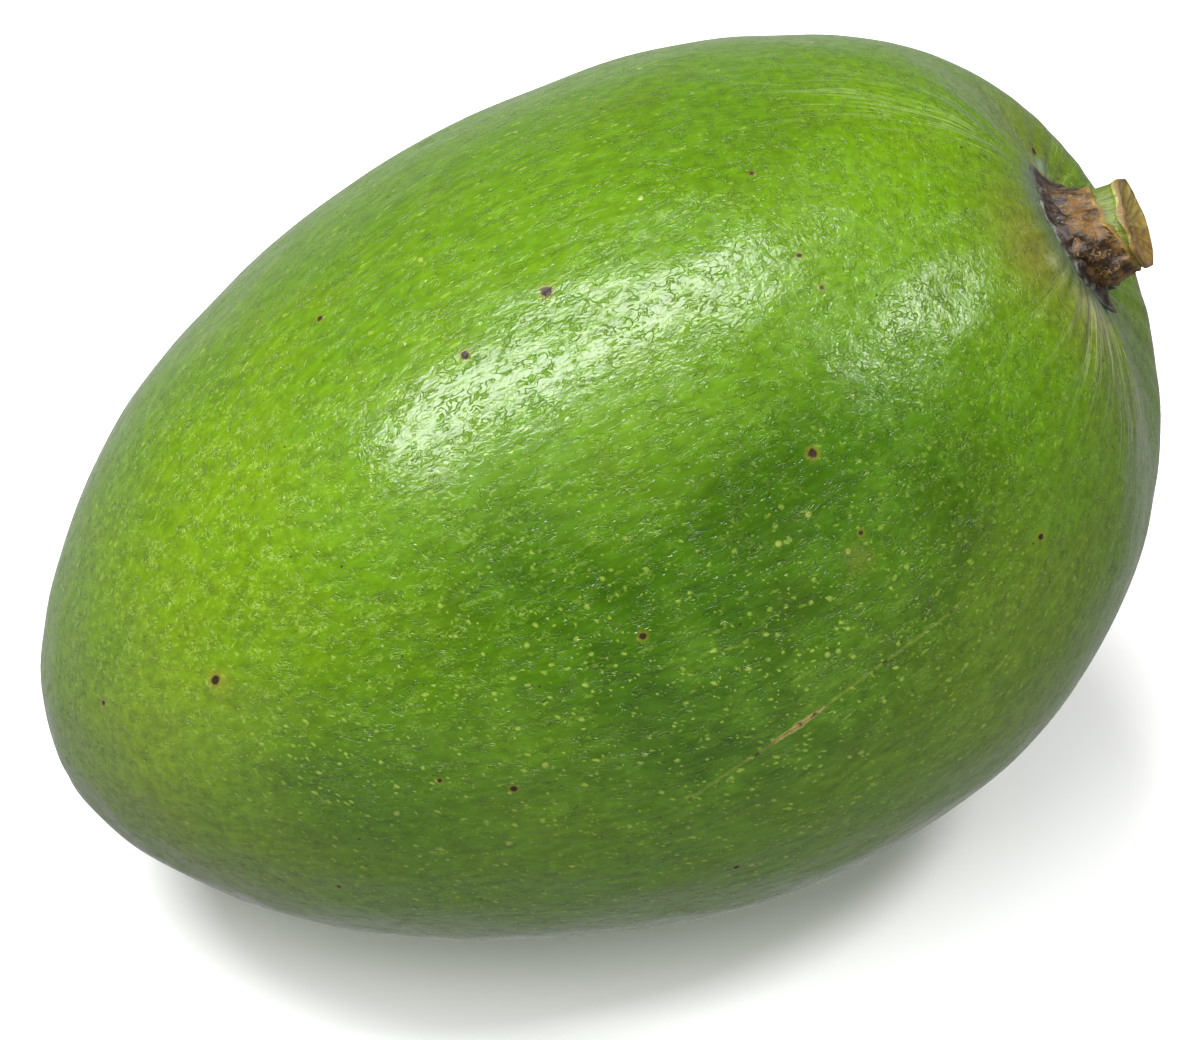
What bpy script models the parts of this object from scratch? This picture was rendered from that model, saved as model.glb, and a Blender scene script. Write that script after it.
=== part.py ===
# A whole mango lying on its side: the fruit, its cut stalk and the dry calyx round the stalk's foot.
# Metres, +Z up. The origin is on the flat spot that the fruit rests on, under its centre of mass.
# +X runs level under the fruit's long axis, towards the stalk end.

import math

import bmesh
import bpy
from mathutils import Matrix, Vector

# Fruit, in its own frame: +X is the long axis, from the blossom end to the stalk end
HALF_LENGTH = 0.0595
HALF_WIDTH = 0.0430
HALF_HEIGHT = 0.0410
STALK_END_SWELL = 0.125  # share by which the stalk end is wider, and the blossom end narrower
END_TAPER = 1.085  # 1 gives the round ends of an ellipsoid, more gives pointed ones
SPINE_BOW = Vector((0.0, 0.0025, -0.0067))  # how far the centre line bows out, most near the stalk
FRUIT_SEGMENTS = 64
FRUIT_RINGS = 44

# How it lies: the stalk end is raised, and the lowest point is flattened
LIE_TILT = math.radians(23.0)
LIE_SHIFT = Vector((-0.0045, -0.0021, 0.0446))

# Hollow at the stalk end, in the fruit's own frame: a trough with a flat seat for the calyx
SEAT_CENTRE = Vector((0.0527, -0.0080, 0.0062))
STALK_LEAN = math.radians(5.0)  # upwards from the long axis
STALK_TURN = math.radians(-5.0)  # sideways from it
TROUGH_TURN = math.radians(-43.0)  # turn of the trough's run about the stalk's axis, from upright
SEAT_RADIUS = 0.0065
TROUGH_RUN_RADIUS = 0.045  # how fast it falls away along its run
NEAR_SIDE_RADIUS = 0.060  # how fast it falls away towards the low shoulder
FAR_SIDE_RADIUS = 0.011  # how fast it climbs to the high shoulder
TROUGH_BLEND = 0.0045

# Stalk, in a frame that stands on the seat
STALK_LENGTH = 0.0065
STALK_FOOT_RADIUS = 0.0050
STALK_WAIST_RADIUS = 0.0043
STALK_CUT_RADIUS = 0.0044
STALK_BEND = Vector((-0.0017, 0.0003, 0.0))  # how far the cut end is off the foot
STALK_NOD = (math.radians(-9.0), math.radians(-10.0))  # tilt of the cut end about the run and the side
PITH_RADIUS = 0.0021
PITH_DEPTH = 0.0009
STALK_SEGMENTS = 32
STALK_RINGS = 8
RIDGES = 5
RIDGE_HEIGHT = 0.00018

# Calyx: a dry ring with five pointed lobes
CALYX_LOBES = 5
CALYX_INNER_RADIUS = 0.0054
CALYX_RING_RADIUS = 0.0062
CALYX_LOBE_RADIUS = 0.0076
CALYX_THICKNESS = 0.0009
CALYX_SEGMENTS = 60

GAP = 0.0003


def clear_scene():
    for old in list(bpy.data.objects):
        bpy.data.objects.remove(old, do_unlink=True)


def make_material(name, colour, roughness):
    material = bpy.data.materials.new(name)
    material.use_nodes = True
    shader = material.node_tree.nodes["Principled BSDF"]
    shader.inputs["Base Color"].default_value = (*colour, 1.0)
    shader.inputs["Roughness"].default_value = roughness
    shader.inputs["Metallic"].default_value = 0.0
    return material


def waxy_skin():
    return make_material("waxy_green_skin", (0.11, 0.24, 0.02), 0.35)


def woody_stalk():
    return make_material("woody_stalk", (0.20, 0.12, 0.04), 0.70)


def dry_calyx():
    return make_material("dry_calyx", (0.035, 0.022, 0.018), 0.80)


def finish_object(name, work, material):
    """Makes the bmesh a smooth-shaded object, with its faces pointing out."""
    bmesh.ops.recalc_face_normals(work, faces=work.faces)
    mesh = bpy.data.meshes.new(name)
    work.to_mesh(mesh)
    work.free()
    mesh.shade_smooth()
    mesh.set_sharp_from_angle(angle=math.radians(40.0))
    mesh.materials.append(material)
    part = bpy.data.objects.new(name, mesh)
    bpy.context.scene.collection.objects.link(part)
    return part


def seat_axes():
    """The trough's run, its side (towards the low shoulder) and the stalk's direction, as unit vectors."""
    out = Vector((1.0, 0.0, 0.0))
    out.rotate(Matrix.Rotation(-STALK_LEAN, 3, "Y"))
    out.rotate(Matrix.Rotation(STALK_TURN, 3, "Z"))
    upright = Vector((0.0, 0.0, 1.0))
    run = (upright - out * upright.dot(out)).normalized()
    run.rotate(Matrix.Rotation(TROUGH_TURN, 3, out))
    return run, out.cross(run), out


def smooth_min(first, second, blend):
    """The smaller of two heights, rounded where they are less than blend apart."""
    share = min(max(0.5 + 0.5 * (second - first) / blend, 0.0), 1.0)
    return first * share + second * (1.0 - share) - blend * share * (1.0 - share)


def trough_height(run, side):
    """Height of the trough over the seat: flat at the seat, falling along its run, climbing on one side."""
    along = max(abs(run) - SEAT_RADIUS, 0.0)
    near = max(side - SEAT_RADIUS, 0.0)
    far = max(-side - SEAT_RADIUS, 0.0)
    fall = along**2 / (2 * TROUGH_RUN_RADIUS) + near**2 / (2 * NEAR_SIDE_RADIUS)
    return far**2 / (2 * FAR_SIDE_RADIUS) - fall


def swollen_egg(point):
    """A point of the unit sphere moved to the fruit's skin, before the hollow at the stalk end."""
    along = point.z
    girth = math.hypot(point.x, point.y)
    if girth > 0.0:
        scale = girth ** (END_TAPER - 1.0) * (1.0 + STALK_END_SWELL * along)
    else:
        scale = 0.0
    bow = (1.0 + along) * (1.0 - along**2)
    skin = Vector((HALF_LENGTH * along, HALF_WIDTH * scale * point.x, HALF_HEIGHT * scale * point.y))
    return skin + SPINE_BOW * bow


def pressed_in(point, axes):
    """The same point, lowered along the stalk's direction wherever it stands above the trough."""
    run, side, out = axes
    offset = point - SEAT_CENTRE
    height = offset.dot(out)
    limit = trough_height(offset.dot(run), offset.dot(side))
    return point + out * (smooth_min(height, limit, TROUGH_BLEND) - height)


def lying_matrix():
    return Matrix.Translation(LIE_SHIFT) @ Matrix.Rotation(-LIE_TILT, 4, "Y")


def make_fruit():
    work = bmesh.new()
    bmesh.ops.create_uvsphere(work, u_segments=FRUIT_SEGMENTS, v_segments=FRUIT_RINGS, radius=1.0)
    axes = seat_axes()
    for vertex in work.verts:
        vertex.co = pressed_in(swollen_egg(vertex.co), axes)
    bmesh.ops.transform(work, matrix=lying_matrix(), verts=work.verts)
    whole = work.verts[:] + work.edges[:] + work.faces[:]
    cut = bmesh.ops.bisect_plane(
        work, geom=whole, dist=1e-6, plane_co=(0, 0, 0), plane_no=(0, 0, -1), clear_outer=True
    )
    rim = [piece for piece in cut["geom_cut"] if isinstance(piece, bmesh.types.BMEdge)]
    bmesh.ops.holes_fill(work, edges=rim, sides=0)
    return finish_object("fruit", work, waxy_skin())


def seat_matrix():
    """Places a piece built on z = 0 around the Z axis onto the seat, with X along the trough's run."""
    run, side, out = seat_axes()
    turn = Matrix((run, side, out)).transposed().to_4x4()
    return lying_matrix() @ Matrix.Translation(SEAT_CENTRE) @ turn


def stalk_radius(level, angle):
    """Radius at a share of the length: a flared foot, a waist and a slightly wider cut, with soft ridges."""
    flare = (STALK_FOOT_RADIUS - STALK_WAIST_RADIUS) * (1.0 - level) ** 3
    widen = (STALK_CUT_RADIUS - STALK_WAIST_RADIUS) * level**2
    return STALK_WAIST_RADIUS + flare + widen + RIDGE_HEIGHT * math.cos(RIDGES * angle)


def stalk_ring(work, level):
    centre = STALK_BEND * level
    centre.z = GAP + (STALK_LENGTH - GAP) * level
    nod = Matrix.Rotation(STALK_NOD[1] * level, 3, "Y") @ Matrix.Rotation(STALK_NOD[0] * level, 3, "X")
    ring = []
    for step in range(STALK_SEGMENTS):
        angle = 2.0 * math.pi * step / STALK_SEGMENTS
        spoke = Vector((math.cos(angle), math.sin(angle), 0.0)) * stalk_radius(level, angle)
        ring.append(work.verts.new(centre + nod @ spoke))
    return ring


def make_stem_stub():
    work = bmesh.new()
    rings = [stalk_ring(work, level / STALK_RINGS) for level in range(STALK_RINGS + 1)]
    work.faces.new(reversed(rings[0]))
    for below, above in zip(rings, rings[1:]):
        for step in range(STALK_SEGMENTS):
            following = (step + 1) % STALK_SEGMENTS
            work.faces.new((below[step], below[following], above[following], above[step]))
    cut_face = work.faces.new(rings[-1])
    rim_width = STALK_CUT_RADIUS - PITH_RADIUS
    bmesh.ops.inset_region(work, faces=[cut_face], thickness=rim_width, depth=-PITH_DEPTH)
    part = finish_object("stem_stub", work, woody_stalk())
    part.matrix_world = seat_matrix()
    return part


def calyx_rim(angle):
    """Outer radius of the calyx: a ring whose lobes come to a point."""
    point = abs(math.cos(0.5 * CALYX_LOBES * angle)) ** 3
    return CALYX_RING_RADIUS + (CALYX_LOBE_RADIUS - CALYX_RING_RADIUS) * point


def make_calyx():
    work = bmesh.new()
    loops = []
    for low, outer in ((True, False), (True, True), (False, True), (False, False)):
        height = GAP if low else GAP + CALYX_THICKNESS
        loop = []
        for step in range(CALYX_SEGMENTS):
            angle = 2.0 * math.pi * step / CALYX_SEGMENTS
            radius = calyx_rim(angle) if outer else CALYX_INNER_RADIUS
            loop.append(work.verts.new((radius * math.cos(angle), radius * math.sin(angle), height)))
        loops.append(loop)
    for first, second in zip(loops, loops[1:] + loops[:1]):
        for step in range(CALYX_SEGMENTS):
            following = (step + 1) % CALYX_SEGMENTS
            work.faces.new((first[step], first[following], second[following], second[step]))
    part = finish_object("calyx", work, dry_calyx())
    part.matrix_world = seat_matrix()
    return part


clear_scene()
make_fruit()
make_stem_stub()
make_calyx()
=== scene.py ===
import math

import bpy
import numpy as np
from mathutils import Matrix, Vector


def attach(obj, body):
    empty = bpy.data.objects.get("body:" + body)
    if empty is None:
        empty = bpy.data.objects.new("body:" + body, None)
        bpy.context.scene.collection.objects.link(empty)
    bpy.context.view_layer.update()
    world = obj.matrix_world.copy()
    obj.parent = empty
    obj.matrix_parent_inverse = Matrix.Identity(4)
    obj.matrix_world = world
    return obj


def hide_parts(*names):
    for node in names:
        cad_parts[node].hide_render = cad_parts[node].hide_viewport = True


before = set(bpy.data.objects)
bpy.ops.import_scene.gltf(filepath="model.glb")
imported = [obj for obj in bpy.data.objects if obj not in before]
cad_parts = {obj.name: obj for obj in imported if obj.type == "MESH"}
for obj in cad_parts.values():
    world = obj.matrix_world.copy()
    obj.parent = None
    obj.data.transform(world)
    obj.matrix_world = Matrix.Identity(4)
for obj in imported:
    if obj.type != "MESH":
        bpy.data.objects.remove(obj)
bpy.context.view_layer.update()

print("frame loaded:", ", ".join(sorted(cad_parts)))

# The fruit's own frame has +X along its long axis, from the blossom end to the stalk end.
# Lengths are in metres and angles in degrees, unless a name or a note says millimetres.
fruit = {
    "halfLength": 0.0595,
    "halfWidth": 0.0430,
    "halfHeight": 0.0410,
    "stalkEndSwell": 0.125,  # share by which the stalk end is wider
    "endTaper": 1.085,  # 1 gives an ellipsoid's round ends
    "spineBow": (0.0, 0.0025, -0.0067),
    "lieTilt": 23.0,
    "lieShift": (-0.0045, -0.0021, 0.0446),
    "restRounding": 0.0005,
    "rings": 282,
    "segments": 348,
    "ringCrowding": 1.12,  # above 1, rings stand closer at the stalk end
    "poleFade": 1.95,  # radians from the pole by which the rings' lean to the seat has faded out
}

# The hollow at the stalk end. The seat frame stands on its floor: X along the trough's run,
# Y towards the low shoulder and Z out along the stalk.
seat = {
    "centre": (0.0527, -0.0080, 0.0062),
    "stalkLean": 5.0,
    "stalkTurn": -5.0,
    "troughTurn": -43.0,
    "radius": 0.0065,
    "runRadius": 0.045,
    "nearSideRadius": 0.060,
    "farSideRadius": 0.011,
    "blend": 0.0045,
}

# Relief on the skin, in millimetres
relief = {
    "swell": (0.15, 24.0),  # height and wavelength of the broad unevenness
    "waviness": (0.06, 7.0),  # the same, drawn out along the fruit
    "drawnOut": 0.55,
    "stalkEndFade": (7.0, 14.0),  # both grow in between these distances from the stalk
    "foldHeight": 0.144,  # folds that run out from the stalk
    "foldStart": (6.0, 11.0),
    "foldReach": 15.0,
    "foldCount": (17, 41),
    "mottle": ((0.13, 13.0), (0.10, 5.5)),  # strength and wavelength of the colour's wandering
}


def turned(axis, degrees):
    return np.array(Matrix.Rotation(math.radians(degrees), 3, axis))


layingTurn = turned("Y", -fruit["lieTilt"])


def layDown(points):
    # fruit frame to the world: tilted about Y, then shifted
    return points @ layingTurn.T + np.array(fruit["lieShift"])


def seatFrame():
    # columns are the trough's run, its side and the stalk's direction, in the fruit's frame
    out = turned("Z", seat["stalkTurn"]) @ turned("Y", -seat["stalkLean"]) @ np.array([1.0, 0.0, 0.0])
    upright = np.array([0.0, 0.0, 1.0])
    run = upright - out * (upright @ out)
    run /= np.linalg.norm(run)
    run = np.array(Matrix.Rotation(math.radians(seat["troughTurn"]), 3, Vector(out))) @ run
    return np.stack([run, np.cross(out, run), out], axis=1)


seatTurn = seatFrame()


def ontoSeat(points):
    # seat frame to the world
    return layDown(points @ seatTurn.T + np.array(seat["centre"]))


def smoothMin(first, second, blend):
    # the smaller of two values, rounded where they are less than blend apart
    share = np.clip(0.5 + 0.5 * (second - first) / blend, 0.0, 1.0)
    return first * share + second * (1.0 - share) - blend * share * (1.0 - share)


def smoothStep(low, high, value):
    # 0 below low, 1 above high, and an S-curve between
    t = np.clip((value - low) / (high - low), 0.0, 1.0)
    return t * t * (3.0 - 2.0 * t)


def troughHeight(run, side):
    # flat over the seat, falling as a parabola along the run and on the near side, and climbing on the
    # far side
    along = np.maximum(np.abs(run) - seat["radius"], 0.0)
    near = np.maximum(side - seat["radius"], 0.0)
    far = np.maximum(-side - seat["radius"], 0.0)
    fall = along**2 / (2 * seat["runRadius"]) + near**2 / (2 * seat["nearSideRadius"])
    return far**2 / (2 * seat["farSideRadius"]) - fall


def eggSkin(ball):
    # a unit ball's points scaled to the half sizes, swollen towards the stalk, tapered by a power
    # of the girth, and bowed along the spine
    along = ball[..., 2]
    girth = np.maximum(np.hypot(ball[..., 0], ball[..., 1]), 1e-9)
    scale = girth ** (fruit["endTaper"] - 1.0) * (1.0 + fruit["stalkEndSwell"] * along)
    skin = np.stack(
        [
            fruit["halfLength"] * along,
            fruit["halfWidth"] * scale * ball[..., 0],
            fruit["halfHeight"] * scale * ball[..., 1],
        ],
        axis=-1,
    )
    bow = (1.0 + along) * (1.0 - along**2)
    return skin + np.array(fruit["spineBow"]) * bow[..., None]


def pressedIn(points):
    # lowered along the stalk's direction to the trough, wherever the egg stands above it
    place = (points - np.array(seat["centre"])) @ seatTurn
    place[..., 2] = smoothMin(place[..., 2], troughHeight(place[..., 0], place[..., 1]), seat["blend"])
    return place @ seatTurn.T + np.array(seat["centre"])


def onBall(lean, around):
    # the place on the unit ball at an angle from its pole and an angle about its axis, in radians
    girth = np.sin(lean)
    return np.stack([girth * np.cos(around), girth * np.sin(around), np.cos(lean)], axis=-1)


def skinPlace(along, around):
    # the world place on the skin at a share of the length (-1 to 1) and an angle about the long axis
    return layDown(pressedIn(eggSkin(onBall(math.acos(along), math.radians(around)))))


def seatOnBall():
    # the direction on the unit ball, within 0.6 radians of its pole, whose skin is nearest to the seat
    ball = onBall(np.linspace(0.0, 0.6, 181)[:, None] + np.zeros(361), np.linspace(0.0, 2 * np.pi, 361))
    away = np.linalg.norm(pressedIn(eggSkin(ball)) - np.array(seat["centre"]), axis=-1)
    return ball[np.unravel_index(away.argmin(), away.shape)]


def seatedBall(lean, around):
    # a ball whose pole leans over to the seat: each point turns by the seat's angle, less and less with
    # the distance from the pole
    ball = onBall(lean, around)
    axis = np.cross([0.0, 0.0, 1.0], seatOnBall())
    share = 1.0 - smoothStep(0.0, fruit["poleFade"], lean)
    angle = math.asin(np.linalg.norm(axis)) * share[..., None]
    axis /= np.linalg.norm(axis)
    level = (ball @ axis)[..., None] * axis
    return ball * np.cos(angle) + np.cross(axis, ball) * np.sin(angle) + level * (1.0 - np.cos(angle))


def ripples(points, wavelength, seed, count=28):
    # a random field near -1 to 1: a sum of plane waves in random directions, all near one wavelength
    chance = np.random.default_rng(seed)
    directions = chance.normal(size=(count, 3))
    directions /= np.linalg.norm(directions, axis=1, keepdims=True)
    waves = directions * (2 * np.pi / (wavelength * chance.uniform(0.75, 1.35, size=(count, 1))))
    phases = chance.uniform(0.0, 2 * np.pi, size=count)
    total = np.zeros(points.shape[:-1])
    for wave, phase in zip(waves, phases):
        total += np.cos(points @ wave + phase)
    return total / math.sqrt(count)


def spokes(around, lowest, highest, seed):
    # a random field on a circle: a sum of cosines of whole multiples of the angle
    chance = np.random.default_rng(seed)
    total = np.zeros_like(around)
    for multiple in range(lowest, highest):
        total += chance.normal() * np.cos(multiple * around + chance.uniform(0.0, 2 * np.pi))
    return total / math.sqrt(0.5 * (highest - lowest))


def outwardNormals(grid):
    # the cross product of the steps along and around a grid whose columns close on themselves
    alongStep = np.gradient(grid, axis=0)
    aroundStep = np.roll(grid, -1, axis=1) - np.roll(grid, 1, axis=1)
    normals = np.cross(alongStep, aroundStep)
    return normals / np.linalg.norm(normals, axis=-1, keepdims=True)


def newObject(name, data):
    made = bpy.data.objects.new(name, data)
    bpy.context.scene.collection.objects.link(made)
    return made


def gridObject(name, grid, ringClosed=False):
    # rows run along the piece and columns round it: four neighbours make a face, the columns close on
    # themselves, and the rows close on themselves too or end in a pole amid the first and last row
    rows, columns = grid.shape[:2]
    index = np.arange(rows * columns).reshape(rows, columns)
    if ringClosed:
        index = np.vstack([index, index[:1]])
    here, there = index[:-1], index[1:]
    quads = np.stack([here, there, np.roll(there, -1, 1), np.roll(here, -1, 1)], axis=-1).reshape(-1, 4)
    vertices = grid.reshape(-1, 3)
    faces = quads.tolist()
    if not ringClosed:
        vertices = np.vstack([vertices, grid[0].mean(axis=0), grid[-1].mean(axis=0)])
        first, last = rows * columns, rows * columns + 1
        start, end = index[0], index[-1]
        faces += np.stack([np.full(columns, first), start, np.roll(start, -1)], axis=-1).tolist()
        faces += np.stack([np.full(columns, last), np.roll(end, -1), end], axis=-1).tolist()
    mesh = bpy.data.meshes.new(name)
    mesh.from_pydata(vertices.tolist(), [], faces)
    mesh.update()
    mesh.shade_smooth()
    return newObject(name, mesh)


def addAttribute(made, name, values):
    # a grid's vectors or colours, which a material reads by name; poles take the means of the end rows
    kinds = {3: ("FLOAT_VECTOR", "vector"), 4: ("FLOAT_COLOR", "color")}
    kind, field = kinds[values.shape[-1]]
    flat = values.reshape(-1, values.shape[-1])
    if len(made.data.vertices) > len(flat):
        flat = np.vstack([flat, values[0].mean(axis=0), values[-1].mean(axis=0)])
    attribute = made.data.attributes.new(name, kind, "POINT")
    attribute.data.foreach_set(field, flat.astype(np.float32).ravel())


def linear(hexColour):
    # an sRGB hex colour as linear red, green, blue and alpha
    parts = [int(hexColour[place : place + 2], 16) / 255 for place in (1, 3, 5)]
    lit = [part / 12.92 if part <= 0.04045 else ((part + 0.055) / 1.055) ** 2.4 for part in parts]
    return lit + [1.0]


def fill(tree, node, inputs):
    # sets or links a node's inputs; a node given as an input stands for its first output
    for name, value in inputs.items():
        if isinstance(value, bpy.types.Node):
            value = value.outputs[0]
        if isinstance(value, bpy.types.NodeSocket):
            tree.links.new(value, node.inputs[name])
        else:
            node.inputs[name].default_value = value


def add(tree, kind, inputs=None, **settings):
    # adds a node with its settings and fills its inputs
    made = tree.nodes.new("ShaderNode" + kind)
    for name, value in settings.items():
        setattr(made, name, value)
    fill(tree, made, inputs or {})
    return made


noiseSpan = {"From Min": 0.3, "From Max": 0.7}  # where a noise's value mostly stays


def newMaterial(name):
    material = bpy.data.materials.new(name)
    material.use_nodes = True
    return material, material.node_tree, material.node_tree.nodes["Principled BSDF"]


# Where the skin's colour and grain change: share of the length, angle about the long axis,
# reach in millimetres and strength. A zone list starts from its level everywhere else.
skinZones = {
    "yellow": (0.0, [
        (-0.68, 118, 16, 0.35), (-0.5, 100, 18, 0.3), (-0.22, 104, 18, 0.2), (0.62, 104, 14, 0.35),
        (0.84, 128, 8, 0.4), (-0.86, 150, 14, 0.7), (-0.7, 165, 12, 0.6), (0.5, 188, 19, 0.6),
        (0.12, 190, 17, 0.45), (-0.25, 192, 15, 0.35), (0.2, 320, 24, 0.35), (-0.6, 230, 20, 0.3),
    ]),
    # milky blue-green: partly the wax bloom, partly a painted sheen
    "bloomAndSheen": (0.0, [
        (-0.06, 184, 17, 0.55), (0.22, 180, 15, 0.55), (0.45, 182, 17, 0.45), (0.75, 190, 18, 0.55),
        (-0.39, 188, 18, 0.5), (-0.72, 166, 18, 0.3), (-0.05, 60, 20, 0.4), (0.3, 75, 14, 0.3),
        (0.02, 108, 17, 0.45), (-0.25, 118, 14, 0.3), (0.6, 134, 10, 0.35), (0.1, 250, 40, 0.45),
    ]),
    "deep": (0.0, [
        (0.3, 158, 14, 0.8), (0.05, 158, 13, 0.8), (0.24, 145, 13, 0.3), (0.42, 140, 12, 0.25),
        (0.52, 150, 12, 0.35), (0.66, 158, 11, 0.3), (-0.1, 134, 8, 0.45), (-0.18, 149, 11, 0.3),
        (-0.25, 138, 12, 0.25), (-0.48, 161, 9, 0.55), (-0.62, 158, 8, 0.5), (0.2, 168, 13, 0.5),
        (0.05, 165, 8, 0.5), (0.34, 162, 8, 0.5), (-0.08, 180, 14, 0.35), (0.5, 92, 12, 0.45),
        (0.8, 118, 10, 0.35), (-0.4, 262, 26, 0.5), (0.45, 20, 18, 0.4),
    ]),
    "brown": (0.0, [
        (0.823, 133, 4, 0.75), (0.845, 122, 5, 0.45), (0.87, 154, 5, 0.7), (0.9, 187, 8, 0.4),
        (0.97, 52, 9, 0.45), (0.5, 192, 20, 0.2), (-0.86, 150, 16, 0.25), (0.95, 270, 9, 0.45),
    ]),
    "pores": (0.07, [
        (-0.1, 176, 26, 0.8), (-0.5, 156, 24, 0.6), (0.35, 178, 16, 0.55), (-0.75, 110, 18, 0.3),
        (0.0, 240, 45, 0.45), (-0.6, 300, 45, 0.4),
    ]),
    "dashes": (0.1, [
        (-0.45, 90, 26, 0.45), (-0.86, 87, 16, 0.4), (0.6, 120, 20, 0.25), (0.5, 180, 22, 0.4),
        (-0.05, 190, 22, 0.3), (0.1, 70, 26, 0.35), (0.1, 0, 45, 0.35),
    ]),
    "strokesAndGlints": (0.05, [
        (-0.1, 85, 24, 0.1), (-0.45, 95, 20, 0.25), (-0.68, 118, 20, 0.45), (-0.25, 150, 16, 0.2),
        (0.7, 150, 14, 0.2), (0.35, 178, 20, 0.2), (0.1, 0, 45, 0.25),
    ]),
    "streaks": (0.02, [
        (0.877, 156, 6, 0.7), (0.9, 187, 8, 0.5), (0.86, 217, 12, 0.15), (0.975, 62, 6, 0.5),
        (0.846, 100, 5, 0.28), (0.775, 93, 4, 0.24), (0.68, 87, 5, 0.2), (0.59, 82, 6, 0.14),
        (0.65, 200, 14, 0.12), (0.95, 300, 12, 0.35),
    ]),
}

# Dark healed marks: share of the length, angle and reach of the halo in millimetres
darkMarks = [
    (0.105, 104.7, 1.15), (-0.056, 107.7, 0.85), (-0.242, 88.7, 0.62), (0.354, 140.4, 0.90),
    (-0.016, 151.7, 0.72), (-0.315, 166.9, 0.66), (-0.656, 132.9, 0.95), (-0.074, 196.2, 0.60),
    (-0.653, 185.1, 0.55), (0.480, 99.8, 0.48), (0.484, 115.2, 0.50), (0.492, 120.9, 0.50),
    (0.611, 173.1, 0.58), (-0.412, 162.3, 0.48), (-0.853, 122.7, 0.55), (0.362, 153.0, 0.50),
    (0.976, 54.0, 0.80), (0.330, 262.0, 0.90), (-0.210, 318.0, 0.75), (0.050, 12.0, 0.65),
    (-0.480, 28.0, 0.80),
]

# Soft stains: share of the length, angle, reach in millimetres, strength and colour
stains = [
    (0.341, 156.1, 1.9, 0.60, "#54601f"),
    (-0.650, 133.5, 1.5, 0.35, "#7a7428"),
    (0.984, 61.5, 1.5, 0.70, "#727e74"),
    (0.950, 108.0, 1.2, 0.60, "#6c7a68"),
    (0.924, 125.0, 1.0, 0.50, "#6c7a68"),
    (0.857, 137.0, 1.2, 0.55, "#757c5c"),
]

# A long healed scratch, with places along it as share of the length and angle. Its open part and its
# faint trail are in millimetres.
scratch = {
    "line": [(-0.176, 180.5), (0.074, 174.1), (0.181, 172.3), (0.407, 171.0), (0.611, 173.1)],
    "halfLength": 4.0,
    "halfWidth": 0.42,
    "wobble": 0.14,
    "softEdge": 0.12,
    "darkTip": (0.9, 0.3),  # where the tips darken, from the ends of the open part
    "trail": (-15.0, 24.0),  # how far the faint line runs each way
    "trailFade": (4.0, 8.0),
    "trailEdge": (0.05, 0.24),
    "depth": 25.0,  # points further under its middle than this are on the fruit's other side
    "farAway": 99.0,
}


def zoneStrength(points, level, zones):
    # a sum of bell curves of the distance to each zone's middle, held to 0..1
    total = np.full(points.shape[:-1], level)
    for along, around, reach, strength in zones:
        away = np.linalg.norm(points - skinPlace(along, around), axis=-1) * 1000.0
        total += strength * np.exp(-((away / reach) ** 2))
    return np.clip(total, 0.0, 1.0)


def scratchPlace(points):
    # millimetres along the scratch from its middle, and across it from its gently bent line; far away
    # for the points on the fruit's other side
    line = np.array([skinPlace(*place) for place in scratch["line"]]) * 1000.0
    middle = 0.5 * (line[1] + line[2])
    heading = (line[3] - line[0]) / np.linalg.norm(line[3] - line[0])
    outward = middle - points.reshape(-1, 3).mean(axis=0) * 1000.0
    across = np.cross(outward, heading)
    across /= np.linalg.norm(across)
    bend = np.polyfit((line - middle) @ heading, (line - middle) @ across, 2)
    offset = points * 1000.0 - middle
    beyond = offset @ outward < -scratch["depth"] * np.linalg.norm(outward)
    far = np.where(beyond, scratch["farAway"], 0.0)
    return offset @ heading, offset @ across - np.polyval(bend, offset @ heading) + far


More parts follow.
